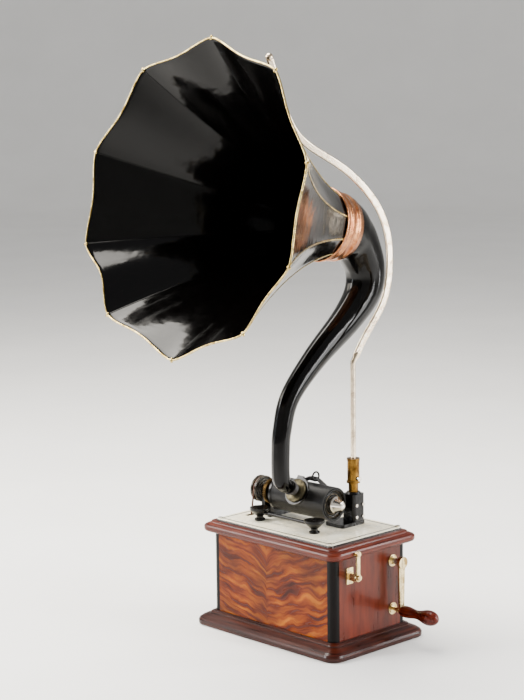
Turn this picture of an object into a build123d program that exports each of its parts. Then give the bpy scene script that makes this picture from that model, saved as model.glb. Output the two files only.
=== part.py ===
"""Wind-up cylinder phonograph: cabinet, spring motor, mandrel, reproducer and flower horn.

Millimetres. Origin at the centre of the cabinet's underside, +Z up, front towards -Y,
crank on the +X side. The mandrel and every motor shaft run along X.
"""

import os
from math import cos, pi, radians, sin

from build123d import *

# --- Cabinet ---------------------------------------------------------------------------
BODY_L, BODY_D = 284.0, 174.0
BODY_CORNER = 10.0
POST = 14.0
PANEL = 8.0
BODY_Z0, BODY_Z1 = 24.6, 160.6
TOP_Z = 182.0
PLATE_L, PLATE_D = 272.0, 174.0
PLATE_T = 4.0
PLATE_Z = TOP_Z + PLATE_T
WELL_L, WELL_D = 250.0, 140.0

# --- Shaft centres, as (y, z) -----------------------------------------------------------
MANDREL = (0.0, 227.0)
CRANK = (54.0, 136.0)
GEAR_GAP = 0.2


def beside(centre, distance, angle):
    """A shaft centre at a distance and an angle (degrees from +Y towards +Z) from another."""
    return (centre[0] + distance * cos(radians(angle)), centre[1] + distance * sin(radians(angle)))


# --- Gear pairs: teeth of each wheel, its module, and the direction from one to the other ---
WIND_PINION, WIND_WHEEL, WIND_MODULE, WIND_ANGLE = 15, 45, 2.0, 205.7
GREAT_WHEEL, SECOND_PINION, GREAT_ANGLE = 84, 16, 195.0
SECOND_WHEEL, DRIVE_PINION, SECOND_ANGLE = 50, 10, 50.0
GOVERNOR_WHEEL, GOVERNOR_PINION, GOVERNOR_ANGLE = 40, 8, -60.0
FEED_TEETH, FEED_ANGLE = 42, -20.2

BARREL = beside(CRANK, WIND_MODULE * (WIND_PINION + WIND_WHEEL) / 2 + GEAR_GAP, WIND_ANGLE)
SECOND = beside(BARREL, (GREAT_WHEEL + SECOND_PINION) / 2 + GEAR_GAP, GREAT_ANGLE)
DRIVE = beside(SECOND, (SECOND_WHEEL + DRIVE_PINION) / 2 + GEAR_GAP, SECOND_ANGLE)
GOVERNOR = beside(DRIVE, (GOVERNOR_WHEEL + GOVERNOR_PINION) / 2 + GEAR_GAP, GOVERNOR_ANGLE)
FEED = beside(MANDREL, FEED_TEETH + GEAR_GAP, FEED_ANGLE)
GUIDE = (40.0, 233.0)
RAIL = (-44.0, 200.0)
BRAKE = (40.0, 172.0)

# --- Stations along X --------------------------------------------------------------------
PLATE_X = (-3.0, 60.0)
PLATE_W = 3.0
BRACKET_X = -101.0
PULLEY_X = -110.0
PEDESTAL_X = (-100.0, -78.0)
PEDESTAL_W = 8.0
FEED_GEAR_X = -88.0
DISC_X = -92.0
MANDREL_X0, MANDREL_X1 = -62.0, 62.0
RECORD_R = 28.5
RECORD_BORE = 26.6
CRANK_END = 165.0
CRANK_ARM = 82.0
RUN = 0.05

# --- Reproducer: placed along the line from the mandrel's axis through the stylus ---------
STYLUS_ANGLE = 30.0
ARM_X = 10.0
SLEEVE_X = -10.0

# --- Crane ---------------------------------------------------------------------------------
CRANE_X, CRANE_Y = 60.0, 48.0
CRANE_TURN = 20.0
CRANE_BEND_Z = 457.0
CRANE_REACH = 146.0
CRANE_TIP_Z = 962.0

# --- Horn ----------------------------------------------------------------------------------
HORN_X = 10.0
THROAT = (62.7, 680.5)
MOUTH = (-263.9, 748.2)
THROAT_R, MOUTH_R = 52.7, 250.6
FLARE = 1.51
WALL = 0.8
SEAMS = (0, 37, 75, 111, 141, 178, 219, 250, 285, 323)

os.makedirs("parts", exist_ok=True)


def save(piece, name):
    """Label a finished piece and write its STEP file."""
    piece.part.label = name
    export_step(piece.part, f"parts/{name}.step")


def rod_x(radius, x0, x1, centre, mode=Mode.ADD):
    """A round bar or bore along X, inside the part that is being built."""
    with Locations(((x0 + x1) / 2, centre[0], centre[1])):
        Cylinder(radius, x1 - x0, rotation=(0, 90, 0), mode=mode)


def gear_outline(teeth, module, centre, phase):
    """Corner points of a spur gear with a tooth centred on the phase angle."""
    pitch_r = teeth * module / 2
    root_r, tip_r = pitch_r - 1.15 * module, pitch_r + 0.85 * module
    step = 2 * pi / teeth
    points = []
    for tooth in range(teeth):
        middle = radians(phase) + tooth * step
        for radius, share in ((root_r, -0.27), (tip_r, -0.12), (tip_r, 0.12), (root_r, 0.27)):
            angle = middle + share * step
            points.append((centre[0] + radius * cos(angle), centre[1] + radius * sin(angle)))
    return points


def gear(teeth, module, centre, x0, width, bore, phase):
    """A spur gear whose axis lies along X."""
    with BuildPart() as wheel:
        with BuildSketch(Plane.YZ.offset(x0)):
            with BuildLine():
                Polyline(*gear_outline(teeth, module, centre, phase), close=True)
            make_face()
            with Locations(centre):
                Circle(bore, mode=Mode.SUBTRACT)
        extrude(amount=width)
    return wheel.part


def facing_phase(teeth, angle):
    """Phase that turns a gap towards the gear that looks at this one along the angle."""
    return angle + 180 + 180 / teeth


def moulding(profile):
    """A stack of rounded outlines round the body; profile is (out from the body, height)."""
    with BuildPart() as stack:
        for out, height in profile:
            with BuildSketch(Plane.XY.offset(height)):
                RectangleRounded(BODY_L + 2 * out, BODY_D + 2 * out, BODY_CORNER + out / 2)
        loft(ruled=True)
    return stack.part


# ===================================== Cabinet =============================================
BASE_PROFILE = [(22.5, 0), (25.4, 1.5), (26, 4.5), (26, 8), (24.2, 11.5), (19.5, 15), (13.5, 18)]
BASE_PROFILE += [(9.6, 19.4), (8, 20), (8, 21.4), (6.5, 22.6), (4, 23.6), (2.5, BODY_Z0)]
with BuildPart() as base_moulding:
    add(moulding(BASE_PROFILE))
    with BuildSketch():
        RectangleRounded(BODY_L - 2 * PANEL, BODY_D - 2 * PANEL, 2)
    extrude(amount=BODY_Z0, mode=Mode.SUBTRACT)
save(base_moulding, "base_moulding")

BATTEN_L, BATTEN_D = 240.0, 36.0
with BuildPart() as bottom_board:
    with BuildSketch(Plane.XY.offset(4)):
        RectangleRounded(BODY_L - 16.2, BODY_D - 16.2, 2)
    extrude(amount=7)
    with Locations((0, 0, 2)):
        Box(BATTEN_L, BATTEN_D, 4)
save(bottom_board, "bottom_board")

with BuildPart() as corner_posts:
    with BuildSketch(Plane.XY.offset(BODY_Z0)):
        RectangleRounded(BODY_L, BODY_D, BODY_CORNER)
        Rectangle(BODY_L - 2 * POST, BODY_D, mode=Mode.SUBTRACT)
        Rectangle(BODY_L, BODY_D - 2 * POST, mode=Mode.SUBTRACT)
    extrude(amount=BODY_Z1 - BODY_Z0)
save(corner_posts, "corner_posts")

PANEL_MID = (BODY_Z0 + BODY_Z1) / 2
for name, side in (("front_panel", -1), ("back_panel", 1)):
    with BuildPart() as long_panel:
        with Locations((0, side * (BODY_D - PANEL) / 2, PANEL_MID)):
            Box(BODY_L - 2 * POST, PANEL, BODY_Z1 - BODY_Z0)
    save(long_panel, name)

with BuildPart() as left_panel:
    with Locations((-(BODY_L - PANEL) / 2, 0, PANEL_MID)):
        Box(PANEL, BODY_D - 2 * POST, BODY_Z1 - BODY_Z0)
save(left_panel, "left_panel")

with BuildPart() as right_panel:
    with Locations(((BODY_L - PANEL) / 2, 0, PANEL_MID)):
        Box(PANEL, BODY_D - 2 * POST, BODY_Z1 - BODY_Z0)
    rod_x(5.0, BODY_L / 2 - 2 * PANEL, BODY_L / 2 + PANEL, CRANK, Mode.SUBTRACT)
save(right_panel, "right_panel")

SCREW_AT = GridLocations(PLATE_L - 14, PLATE_D - 10, 2, 2)
TOP_OUT = 16.0
TOP_RIM = 9.0
TOP_PROFILE = [(0, BODY_Z1), (3, 161.4), (10.5, 163), (15, 165.5), (TOP_OUT, 168), (TOP_OUT, 173)]
TOP_PROFILE += [(14.5, 175.2), (10, 177.4), (6.5, 178.6), (5.5, 180), (5.5, 181), (2.5, TOP_Z)]
with BuildPart() as top_moulding:
    add(moulding(TOP_PROFILE))
    with BuildSketch(Plane.XY.offset(BODY_Z1)):
        RectangleRounded(BODY_L - 2 * PANEL, BODY_D - 2 * PANEL, 2)
    extrude(amount=TOP_Z - TOP_RIM - BODY_Z1, mode=Mode.SUBTRACT)
    with BuildSketch(Plane.XY.offset(TOP_Z - TOP_RIM)):
        RectangleRounded(WELL_L, WELL_D, 4)
    extrude(amount=TOP_RIM, mode=Mode.SUBTRACT)
    with BuildSketch(Plane.XY.offset(TOP_Z)):
        with SCREW_AT:
            Circle(2.1)
    extrude(amount=-5, mode=Mode.SUBTRACT)
save(top_moulding, "top_moulding")

BELT_SLOT_Y = (DRIVE[0] + MANDREL[0]) / 2
with BuildPart() as bedplate:
    with BuildSketch(Plane.XY.offset(TOP_Z)):
        RectangleRounded(PLATE_L, PLATE_D, 7)
        with Locations((PULLEY_X, BELT_SLOT_Y + 4)):
            Rectangle(9, 56, mode=Mode.SUBTRACT)
        with Locations((DISC_X, 61)):
            Rectangle(8, 16, mode=Mode.SUBTRACT)
        with SCREW_AT:
            Circle(2.1, mode=Mode.SUBTRACT)
    extrude(amount=PLATE_T)
    chamfer(bedplate.faces().sort_by(Axis.Z)[-1].outer_wire().edges(), length=1)
save(bedplate, "bedplate")

with BuildPart() as bedplate_screws:
    with BuildSketch(Plane.XY.offset(PLATE_Z - 8)):
        with SCREW_AT:
            Circle(2.05)
    extrude(amount=8)
    with BuildSketch(Plane.XY.offset(PLATE_Z)):
        with SCREW_AT:
            Circle(4)
    extrude(amount=2)
    with BuildSketch(Plane.XY.offset(PLATE_Z + 1.2)):
        with SCREW_AT:
            Rectangle(8, 0.9)
    extrude(amount=1, mode=Mode.SUBTRACT)
save(bedplate_screws, "bedplate_screws")

PEG = (CRANK[0], CRANK[1] - CRANK_ARM)
FACE_X = BODY_L / 2
with BuildPart() as escutcheons:
    for centre in (CRANK, PEG):
        rod_x(10, FACE_X, FACE_X + 1.5, centre)
        rod_x(8, FACE_X + 1.5, FACE_X + 3, centre)
    rod_x(6, FACE_X + 3, FACE_X + 5.5, CRANK)
    rod_x(4 + RUN, FACE_X, FACE_X + 6, CRANK, Mode.SUBTRACT)
    rod_x(3.2, FACE_X + 3, FACE_X + 11, PEG)
    rod_x(4.2, FACE_X + 11, FACE_X + 14, PEG)
save(escutcheons, "escutcheons")

# Hook catch on the right side: hinged on the top moulding, dropped over a peg on the body.
CATCH = (-50.0, 170.0)
CATCH_PEG = (-50.0, 131.0)
CATCH_X = FACE_X + TOP_OUT
with BuildPart() as catch_plates:
    with Locations((CATCH_X + 0.75, CATCH[0], CATCH[1] + 0.7)):
        Box(1.5, 13, 4.6)
    rod_x(2.5, CATCH_X + 1.5, CATCH_X + 5.6, CATCH)
    rod_x(4, CATCH_X + 5.6, CATCH_X + 7, CATCH)
    with Locations((FACE_X + 1, CATCH_PEG[0], CATCH_PEG[1])):
        Box(2, 15, 27)
    with Locations(((FACE_X + CATCH_X + 1) / 2, *CATCH_PEG)):
        Box(CATCH_X + 1 - FACE_X, 9, 12)
    rod_x(2.6, FACE_X + 2, CATCH_X + 6.5, CATCH_PEG)
    rod_x(4, CATCH_X + 6.5, CATCH_X + 8.5, CATCH_PEG)
save(catch_plates, "catch_plates")

with BuildPart() as catch_hook:
    with BuildSketch(Plane.YZ.offset(CATCH_X + 2)):
        with Locations(CATCH):
            Circle(5)
        with Locations((CATCH[0], (CATCH[1] + CATCH_PEG[1]) / 2)):
            Rectangle(7, CATCH[1] - CATCH_PEG[1])
        with Locations(CATCH_PEG):
            Circle(6.5)
            Circle(3, mode=Mode.SUBTRACT)
        with Locations((CATCH_PEG[0] + 5, CATCH_PEG[1])):
            Rectangle(10, 6, mode=Mode.SUBTRACT)
        with Locations(CATCH):
            Circle(2.6, mode=Mode.SUBTRACT)
    extrude(amount=3.2)
save(catch_hook, "catch_hook")

# ===================================== Spring motor ========================================
RATCHET_TEETH, RATCHET_R = 12, 22.0
CLICK_ANGLE = 100.0
CLICK_X = 53.6
CLICK_PIVOT = beside(BARREL, 36, 72)
MOTOR_BORES = ((CRANK, 4.0), (BARREL, 5.0), (SECOND, 3.0))
PILLARS = [(-52, 68), (-52, 172), (60, 68), (60, 172)]
with BuildPart() as motor_frame:
    for x in PLATE_X:
        with BuildSketch(Plane.YZ.offset(x)):
            with Locations((4, (TOP_Z + 60) / 2)):
                RectangleRounded(124, TOP_Z - 60, 6)
            for centre, radius in MOTOR_BORES:
                with Locations(centre):
                    Circle(radius + RUN, mode=Mode.SUBTRACT)
            if x < 0:
                for centre in (DRIVE, GOVERNOR):
                    with Locations(centre):
                        Circle(3 + RUN, mode=Mode.SUBTRACT)
        extrude(amount=PLATE_W)
    for centre in PILLARS:
        rod_x(4, PLATE_X[0] + PLATE_W, PLATE_X[1], centre)
    rod_x(2.5, CLICK_X - 1.5, PLATE_X[1], CLICK_PIVOT)
    rod_x(4, CLICK_X - 1.5, CLICK_X - 0.2, CLICK_PIVOT)
save(motor_frame, "motor_frame")

# Winding side: crank shaft, arm, grip and pinion.
with BuildPart() as crank_shaft:
    rod_x(4, PLATE_X[0], CRANK_END - 5, CRANK)
    rod_x(5.5, FACE_X + 8, FACE_X + 14, CRANK)
save(crank_shaft, "crank_shaft")

with BuildPart() as winding_pinion:
    add(gear(WIND_PINION, WIND_MODULE, CRANK, 45, 7, 4, WIND_ANGLE))
save(winding_pinion, "winding_pinion")

ARM_X0 = CRANK_END - 5
with BuildPart() as crank_arm:
    with BuildSketch(Plane.YZ.offset(ARM_X0)):
        with Locations(CRANK):
            Circle(8)
        with Locations(PEG):
            Circle(6)
        with BuildLine():
            Polyline(
                (CRANK[0] - 7, CRANK[1]),
                (CRANK[0] + 7, CRANK[1]),
                (PEG[0] + 5, PEG[1]),
                (PEG[0] - 5, PEG[1]),
                close=True,
            )
        make_face()
    extrude(amount=4)
    rod_x(10, ARM_X0, ARM_X0 + 7, CRANK)
    rod_x(3.5, ARM_X0 + 4, ARM_X0 + 76, PEG)
save(crank_arm, "crank_arm")

with BuildPart() as crank_handle:
    with BuildSketch(Plane.XY.offset(PEG[1])):
        with BuildLine():
            Polyline((ARM_X0 + 5, PEG[0]), (ARM_X0 + 5, PEG[0] + 9))
            Spline(
                (ARM_X0 + 5, PEG[0] + 9),
                (ARM_X0 + 20, PEG[0] + 9.5),
                (ARM_X0 + 37, PEG[0] + 7.5),
                (ARM_X0 + 60, PEG[0] + 12.5),
                (ARM_X0 + 76, PEG[0] + 9),
                (ARM_X0 + 82, PEG[0]),
            )
            Line((ARM_X0 + 82, PEG[0]), (ARM_X0 + 5, PEG[0]))
        make_face()
    revolve(axis=Axis((0, PEG[0], PEG[1]), (1, 0, 0)), revolution_arc=360)
    rod_x(3.5 + RUN, ARM_X0, ARM_X0 + 76.5, PEG, Mode.SUBTRACT)
save(crank_handle, "crank_handle")

# Spring arbor: the winding gear and its ratchet turn with the inner end of the mainspring.
with BuildPart() as spring_arbor:
    rod_x(5, PLATE_X[0], PLATE_X[1] + PLATE_W, BARREL)
save(spring_arbor, "spring_arbor")

with BuildPart() as winding_gear:
    add(gear(WIND_WHEEL, WIND_MODULE, BARREL, 46, 5, 5, facing_phase(WIND_WHEEL, WIND_ANGLE)))
    with BuildSketch(Plane.YZ.offset(CLICK_X)):
        with BuildLine():
            corners = []
            for tooth in range(RATCHET_TEETH):
                front = CLICK_ANGLE + 360 / RATCHET_TEETH * tooth
                corners.append(beside(BARREL, RATCHET_R, front))
                corners.append(beside(BARREL, RATCHET_R - 5, front + 1))
            Polyline(*corners, close=True)
        make_face()
        with Locations(BARREL):
            Circle(5, mode=Mode.SUBTRACT)
    extrude(amount=4)
save(winding_gear, "winding_gear")

# The click hangs on a stud of the frame and drops into a ratchet tooth.
CLICK_TIP = beside(BARREL, RATCHET_R + 0.3, CLICK_ANGLE + 4)
with BuildPart() as click_pawl:
    with BuildSketch(Plane.YZ.offset(CLICK_X)):
        with Locations(CLICK_PIVOT):
            Circle(5)
        with BuildLine():
            Polyline(
                (CLICK_PIVOT[0] + 1, CLICK_PIVOT[1] + 4.8),
                (CLICK_PIVOT[0] - 2, CLICK_PIVOT[1] - 4.5),
                beside(BARREL, RATCHET_R + 1.5, CLICK_ANGLE - 3),
                beside(BARREL, RATCHET_R + 0.8, CLICK_ANGLE + 1.5),
                CLICK_TIP,
                beside(BARREL, RATCHET_R + 3, CLICK_ANGLE + 6),
                close=True,
            )
        make_face()
        with Locations(CLICK_PIVOT):
            Circle(2.5 + RUN, mode=Mode.SUBTRACT)
    extrude(amount=4)
save(click_pawl, "click_pawl")

# Spring barrel with the mainspring coiled inside it.
BARREL_R = 34.0
with BuildPart() as spring_barrel:
    rod_x(BARREL_R, 8, 42, BARREL)
    rod_x(BARREL_R - 2, 10, 42, BARREL, Mode.SUBTRACT)
    rod_x(5 + RUN, 7, 11, BARREL, Mode.SUBTRACT)
    rod_x(BARREL_R - 2, 40, 42, BARREL)
    rod_x(5 + RUN, 39, 43, BARREL, Mode.SUBTRACT)
save(spring_barrel, "spring_barrel")

SPRING_TURNS = 9
SPRING_R0, SPRING_R1 = 7.0, 30.5
SPRING_T = 0.9


def spiral(thickness):
    """Points of one face of the coiled mainspring."""
    points = []
    for i in range(SPRING_TURNS * 12 + 1):
        radius = SPRING_R0 + (SPRING_R1 - SPRING_R0) * i / (SPRING_TURNS * 12) + thickness
        points.append(beside(BARREL, radius, 30 * i))
    return points


with BuildPart() as mainspring:
    with BuildSketch(Plane.YZ.offset(11.5)):
        with BuildLine():
            inner = Spline(*spiral(0))
            outer = Spline(*spiral(SPRING_T))
            Line(inner @ 0, outer @ 0)
            Line(inner @ 1, outer @ 1)
        make_face()
    extrude(amount=27)
save(mainspring, "mainspring")

with BuildPart() as great_wheel:
    add(gear(GREAT_WHEEL, 1.0, BARREL, 3, 4, 5 + RUN, GREAT_ANGLE))
    rod_x(8, 7, 8, BARREL)
    rod_x(5 + RUN, 3, 8, BARREL, Mode.SUBTRACT)
save(great_wheel, "great_wheel")

with BuildPart() as second_arbor:
    rod_x(3, PLATE_X[0] - 8, PLATE_X[1] + PLATE_W, SECOND)
    add(gear(SECOND_PINION, 1.0, SECOND, 2.5, 5, 2.5, facing_phase(SECOND_PINION, GREAT_ANGLE)))
    add(gear(SECOND_WHEEL, 1.0, SECOND, -9, 3, 2.5, SECOND_ANGLE))
save(second_arbor, "second_arbor")

# Drive shaft: pinion, governor wheel and the belt pulley.
with BuildPart() as drive_shaft:
    rod_x(3, -120, 0, DRIVE)
    add(gear(DRIVE_PINION, 1.0, DRIVE, -10, 5, 2.5, facing_phase(DRIVE_PINION, SECOND_ANGLE)))
    add(gear(GOVERNOR_WHEEL, 1.0, DRIVE, -20, 4, 2.5, GOVERNOR_ANGLE))
save(drive_shaft, "drive_shaft")

DRIVE_PULLEY_R, MANDREL_PULLEY_R = 8.0, 20.0
BELT_R = 1.6


def pulley_groove(run_r, centre, rim_r, half_width, bore):
    """A grooved pulley about an X axis; run_r is where the belt's middle runs."""
    with BuildPart() as wheel:
        rod_x(rim_r, PULLEY_X - half_width, PULLEY_X + half_width, centre)
        rod_x(bore, PULLEY_X - half_width, PULLEY_X + half_width, centre, Mode.SUBTRACT)
        with BuildSketch(Plane.XY.offset(centre[1])):
            with BuildLine():
                Polyline(
                    (PULLEY_X - 1, centre[0] + run_r - BELT_R - 0.4),
                    (PULLEY_X + 1, centre[0] + run_r - BELT_R - 0.4),
                    (PULLEY_X + 3.2, centre[0] + rim_r + 1),
                    (PULLEY_X - 3.2, centre[0] + rim_r + 1),
                    close=True,
                )
            make_face()
        revolve(axis=Axis((0, centre[0], centre[1]), (1, 0, 0)), mode=Mode.SUBTRACT)
    return wheel.part


with BuildPart() as drive_pulley:
    add(pulley_groove(DRIVE_PULLEY_R, DRIVE, DRIVE_PULLEY_R + 3, 4.5, 3))
save(drive_pulley, "drive_pulley")


def belt_tangents():
    """Ends of the two straight runs of the belt, outside both pulleys."""
    run_y, run_z = MANDREL[0] - DRIVE[0], MANDREL[1] - DRIVE[1]
    span = (run_y**2 + run_z**2) ** 0.5
    lean = (MANDREL_PULLEY_R - DRIVE_PULLEY_R) / span
    rise = (1 - lean**2) ** 0.5
    ends = []
    for side in (1, -1):
        out_y = -lean * run_y / span + side * rise * run_z / span
        out_z = -lean * run_z / span - side * rise * run_y / span
        for centre, radius in ((DRIVE, DRIVE_PULLEY_R), (MANDREL, MANDREL_PULLEY_R)):
            ends.append((centre[0] + radius * out_y, centre[1] + radius * out_z))
    return ends


low_a, high_a, low_b, high_b = belt_tangents()
with BuildPart() as drive_belt:
    with BuildLine(Plane.YZ.offset(PULLEY_X)) as belt_path:
        Line(low_a, high_a)
        ThreePointArc(high_a, (2, MANDREL[1] + (MANDREL_PULLEY_R**2 - 4) ** 0.5), high_b)
        Line(high_b, low_b)
        ThreePointArc(low_b, (DRIVE[0], DRIVE[1] - DRIVE_PULLEY_R), low_a)
    start = belt_path.line @ 0
    with BuildSketch(Plane(origin=start, z_dir=belt_path.line % 0)):
        Circle(BELT_R)
    sweep()
save(drive_belt, "drive_belt")

# Governor: three sprung weights pull the brake disc along the shaft.
with BuildPart() as governor_shaft:
    rod_x(3, BRACKET_X, 0, GOVERNOR)
    rod_x(6, -40, -34, GOVERNOR)
    rod_x(6, -76, -70, GOVERNOR)
    add(
        gear(
            GOVERNOR_PINION, 1.0, GOVERNOR, -21, 6, 2.5, facing_phase(GOVERNOR_PINION, GOVERNOR_ANGLE)
        )
    )
save(governor_shaft, "governor_shaft")

with BuildPart() as governor_weights:
    for angle in (30, 150, 270):
        rod_x(5, -60, -50, beside(GOVERNOR, 14, angle))
        for x0, x1 in ((-73, -59), (-51, -37)):
            with Locations(((x0 + x1) / 2, *beside(GOVERNOR, 11, angle))):
                Box(x1 - x0, 4, 1, rotation=(angle - 90, 0, 0))
        for x in (-73, -37):
            with Locations((x, *beside(GOVERNOR, 9, angle))):
                Box(3, 4, 5, rotation=(angle - 90, 0, 0))
save(governor_weights, "governor_weights")

DISC_R = 14.0
with BuildPart() as governor_disc:
    rod_x(DISC_R, DISC_X - 1.5, DISC_X + 1.5, GOVERNOR)
    rod_x(6, DISC_X + 1.5, -77, GOVERNOR)
    rod_x(3, DISC_X - 2, -76, GOVERNOR, Mode.SUBTRACT)
save(governor_disc, "governor_disc")

# Hanging bracket at the pulley end, with the lug that carries the brake lever.
with BuildPart() as pulley_bracket:
    with BuildSketch(Plane.YZ.offset(BRACKET_X)):
        with BuildLine():
            Polyline((-42, TOP_Z), (52, TOP_Z), (52, 162), (0, 140), (0, 88), (-42, 88), close=True)
        make_face()
        for centre in (DRIVE, GOVERNOR):
            with Locations(centre):
                Circle(3 + RUN, mode=Mode.SUBTRACT)
    extrude(amount=3)
    rod_x(2.5, BRACKET_X + 3, DISC_X + 3, BRAKE)
save(pulley_bracket, "pulley_bracket")

PAD = (GOVERNOR[0] + DISC_R + 0.4, GOVERNOR[1] + 3)
with BuildPart() as brake_lever:
    with BuildSketch(Plane.YZ.offset(DISC_X - 1.5)):
        with Locations(BRAKE):
            Circle(6)
        with BuildLine():
            Polyline(
                (BRAKE[0] - 4, BRAKE[1] + 4.5),
                (BRAKE[0] + 2, BRAKE[1] - 5.5),
                (PAD[0] + 12, PAD[1] + 22),
                (PAD[0] + 7, PAD[1] - 4),
                (PAD[0] + 3, PAD[1] - 4),
                (PAD[0] + 4, PAD[1] + 24),
                close=True,
            )
        make_face()
        with Locations((BRAKE[0] + 10, BRAKE[1] + 1)):
            Rectangle(24, 5)
        with Locations((BRAKE[0] + 21, BRAKE[1] + 13)):
            Rectangle(4, 26)
        with Locations(BRAKE):
            Circle(2.5 + RUN, mode=Mode.SUBTRACT)
    extrude(amount=3)
    with Locations((DISC_X, PAD[0] + 1.5, PAD[1])):
        Box(3, 3, 8)
    with Locations((DISC_X, BRAKE[0] + 21, PLATE_Z + 14)):
        Cylinder(3, 5)
save(brake_lever, "brake_lever")

# ===================================== Mandrel and feed ====================================
with BuildPart() as pedestals:
    for x in PEDESTAL_X:
        with BuildSketch(Plane.YZ.offset(x)):
            with BuildLine():
                Polyline(
                    (-20, PLATE_Z),
                    (54, PLATE_Z),
                    (50, PLATE_Z + 8),
                    (49, GUIDE[1] + 6),
                    (40, GUIDE[1] + 9),
                    (8, MANDREL[1] + 10),
                    (-8, MANDREL[1] + 10),
                    (-11, MANDREL[1]),
                    (-12, PLATE_Z + 8),
                    close=True,
                )
            make_face()
            for centre, radius in ((MANDREL, 5.0), (FEED, 4.0)):
                with Locations(centre):
                    Circle(radius + RUN, mode=Mode.SUBTRACT)
            if x == PEDESTAL_X[-1]:
                with Locations(GUIDE):
                    Circle(4 + RUN, mode=Mode.SUBTRACT)
        extrude(amount=PEDESTAL_W)
save(pedestals, "pedestals")

with BuildPart() as mandrel_shaft:
    rod_x(5, PULLEY_X - 12, MANDREL_X1 + 14, MANDREL)
save(mandrel_shaft, "mandrel_shaft")

with BuildPart() as mandrel:
    with BuildSketch(Plane.XY.offset(MANDREL[1])):
        with BuildLine():
            Polyline(
                (MANDREL_X0 - 4, 5),
                (MANDREL_X0 - 4, 29.5),
                (MANDREL_X0, 29.5),
                (MANDREL_X0, 26.3),
                (MANDREL_X1, 25.4),
                (MANDREL_X1, 23.0),
                (MANDREL_X0 + 4, 23.8),
                (MANDREL_X0 + 4, 11),
                (MANDREL_X1 - 8, 11),
                (MANDREL_X1 - 8, 24),
                (MANDREL_X1 - 4, 24),
                (MANDREL_X1 - 4, 5),
                close=True,
            )
        make_face()
    revolve(axis=Axis((0, 0, MANDREL[1]), (1, 0, 0)))
save(mandrel, "mandrel")

with BuildPart() as mandrel_gear:
    add(gear(FEED_TEETH, 1.0, MANDREL, FEED_GEAR_X, 6, 5, FEED_ANGLE))
save(mandrel_gear, "mandrel_gear")

with BuildPart() as mandrel_pulley:
    add(pulley_groove(MANDREL_PULLEY_R, MANDREL, MANDREL_PULLEY_R + 3, 6, 5))
save(mandrel_pulley, "mandrel_pulley")

CAP_X, NUT_X = PULLEY_X - 6, MANDREL_X1
with BuildPart() as mandrel_nuts:
    for outline in (
        [(CAP_X, 9), (CAP_X - 4, 9), (CAP_X - 10, 7), (CAP_X - 13, 4), (CAP_X - 14, 0)]
        + [(CAP_X - 7, 0), (CAP_X - 7, 5), (CAP_X, 5)],
        [(NUT_X, 5), (NUT_X, 14), (NUT_X + 4, 14), (NUT_X + 6, 12), (NUT_X + 18, 7)]
        + [(NUT_X + 20, 4), (NUT_X + 20.5, 0), (NUT_X + 14.5, 0), (NUT_X + 14.5, 5)],
    ):
        with BuildSketch(Plane.XY.offset(MANDREL[1])):
            with BuildLine():
                Polyline(*outline, close=True)
            make_face()
        revolve(axis=Axis((0, 0, MANDREL[1]), (1, 0, 0)))
save(mandrel_nuts, "mandrel_nuts")

with BuildPart() as record:
    rod_x(RECORD_R, MANDREL_X0 + 0.3, MANDREL_X1 - 0.5, MANDREL)
    rod_x(RECORD_BORE, MANDREL_X0, MANDREL_X1, MANDREL, Mode.SUBTRACT)
save(record, "record")

# Feed screw: a gear at the left, a fine thread shown as rings along its working length.
POST_X0 = CRANE_X - 14
with BuildPart() as feed_screw:
    rod_x(4, PEDESTAL_X[0], POST_X0 + 6, FEED)
    add(gear(FEED_TEETH, 1.0, FEED, FEED_GEAR_X, 6, 3.5, facing_phase(FEED_TEETH, FEED_ANGLE)))
    with BuildSketch(Plane.XY.offset(FEED[1])):
        with Locations(*[(SLEEVE_X - 52 + 2 * i, FEED[0] + 4) for i in range(48)]):
            Rectangle(1, 0.7)
    revolve(axis=Axis((0, FEED[0], FEED[1]), (1, 0, 0)), mode=Mode.SUBTRACT)
save(feed_screw, "feed_screw")

with BuildPart() as guide_rod:
    rod_x(4, PEDESTAL_X[-1], POST_X0 + 6, GUIDE)
save(guide_rod, "guide_rod")

FEET_X = (-71.0, 58.0)
CUP_R = 17.0
with BuildPart() as front_feet:
    for x in FEET_X:
        with Locations((x, RAIL[0], PLATE_Z + 1.5)):
            Cylinder(9, 3)
        with Locations((x, RAIL[0], PLATE_Z + 6)):
            Cylinder(6, 9)
        with Locations((x, RAIL[0], PLATE_Z + 13.5)):
            Cone(8, CUP_R, 9)
        with Locations((x, RAIL[0], PLATE_Z + 20)):
            Cylinder(CUP_R, 4)
    rod_x(3, FEET_X[0] - 6, FEET_X[1] + 6, RAIL, Mode.SUBTRACT)
save(front_feet, "front_feet")

with BuildPart() as front_rail:
    rod_x(3, FEET_X[0] - 6, FEET_X[1] + 6, RAIL)
save(front_rail, "front_rail")

# Carriage: a sleeve on the guide rod; the arm hinges on it and carries the reproducer.
with BuildPart() as carriage_sleeve:
    rod_x(7, SLEEVE_X - 12, SLEEVE_X + 12, GUIDE)
    rod_x(8, SLEEVE_X - 12, SLEEVE_X - 9, GUIDE)
    rod_x(8, SLEEVE_X + 9, SLEEVE_X + 12, GUIDE)
    rod_x(4 + RUN, SLEEVE_X - 12, SLEEVE_X + 12, GUIDE, Mode.SUBTRACT)
save(carriage_sleeve, "carriage_sleeve")


def on_stylus_line(distance):
    """(y, z) at a distance from the mandrel's axis along the stylus line."""
    return beside(MANDREL, distance, 180 - STYLUS_ANGLE)


def stylus_plane(distance, x=ARM_X):
    """A plane across the stylus line, facing away from the mandrel."""
    y, z = on_stylus_line(distance)
    outward = (0, -cos(radians(STYLUS_ANGLE)), sin(radians(STYLUS_ANGLE)))
    return Plane(origin=(x, y, z), x_dir=(1, 0, 0), z_dir=outward)


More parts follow.
